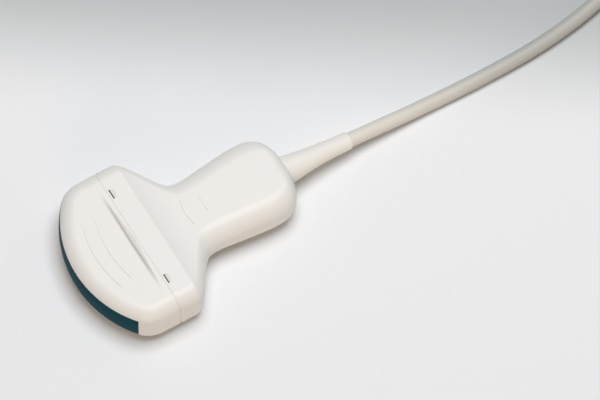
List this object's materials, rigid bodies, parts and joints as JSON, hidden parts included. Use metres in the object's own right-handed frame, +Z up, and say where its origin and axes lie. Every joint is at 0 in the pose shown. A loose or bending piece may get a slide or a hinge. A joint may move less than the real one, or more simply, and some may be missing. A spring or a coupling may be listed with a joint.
{
  "type": "ultrasound transducer probe",
  "caption": "Convex ultrasound probe with a wide curved lens head, slim rounded handle and boot, on a cable put away in a coil that ends in a twist-lock system connector.",
  "frame": {"origin": "on the floor, under the middle of the probe's length from the lens to the end of the boot", "axes": "+Z up, +Y along the probe from the lens towards the cable, +X across it with the marker groove on the -X side"},
  "size_m": [0.0988, 0.4585, 0.033],
  "materials": {
    "housing": "satin moulded",
    "lens_rubber": "smooth silicone",
    "matching_resin": "ground flat",
    "piezo_ceramic": "fired and diced",
    "backing_resin": "cast filled resin",
    "spreader_metal": "milled",
    "flex_film": "polyimide film",
    "seal_rubber": "moulded",
    "shield_copper": "bare copper sheet",
    "board_laminate": "solder mask",
    "connector_resin": "moulded",
    "coax_wire": "fine ribbon",
    "clamp_resin": "moulded",
    "screw_steel": "turned",
    "boot_rubber": "satin moulded",
    "cable_jacket": "satin extruded",
    "tie_fabric": "hook and loop tape",
    "contact_metal": "plated",
    "frame_metal": "die cast and plated",
    "knob_resin": "moulded"
  },
  "bodies": {
    "probe": {"acoustic_lens": "lens_rubber", "outer_matching_layer": "matching_resin", "inner_matching_layer": "matching_resin", "piezo_array": "piezo_ceramic", "backing_block": "backing_resin", "heat_spreader": "spreader_metal", "upper_flex_circuit": "flex_film", "lower_flex_circuit": "flex_film", "nose_shell": "housing", "nose_seal": "seal_rubber", "handle_upper_shell": "housing", "handle_lower_shell": "housing", "shield_liner": "shield_copper", "interconnect_board": "board_laminate", "board_connectors": "connector_resin", "coax_fanout": "coax_wire", "cable_clamp_upper": "clamp_resin", "cable_clamp_lower": "clamp_resin", "clamp_screws": "screw_steel", "strain_relief_boot": "boot_rubber", "cable_run": "cable_jacket", "cable_coil": "cable_jacket", "coil_ties": "tie_fabric", "cable_tail": "cable_jacket", "connector_upper_shell": "housing", "connector_lower_shell": "housing", "connector_boot": "boot_rubber", "connector_screws": "screw_steel", "contact_frame": "frame_metal", "contact_block": "connector_resin", "contact_pins": "contact_metal", "connector_board": "board_laminate", "connector_wires": "coax_wire"},
    "lock": {"lock_knob": "knob_resin", "lock_shaft": "screw_steel", "lock_clip": "screw_steel"}
  },
  "joints": [
    {"name": "lock_twist", "type": "hinge", "parent": "probe", "child": "lock", "pos_m": [-0.008, 0.36143, 0.0165], "axis": [1, 0, 0], "range_deg": [0, 90]}
  ]
}
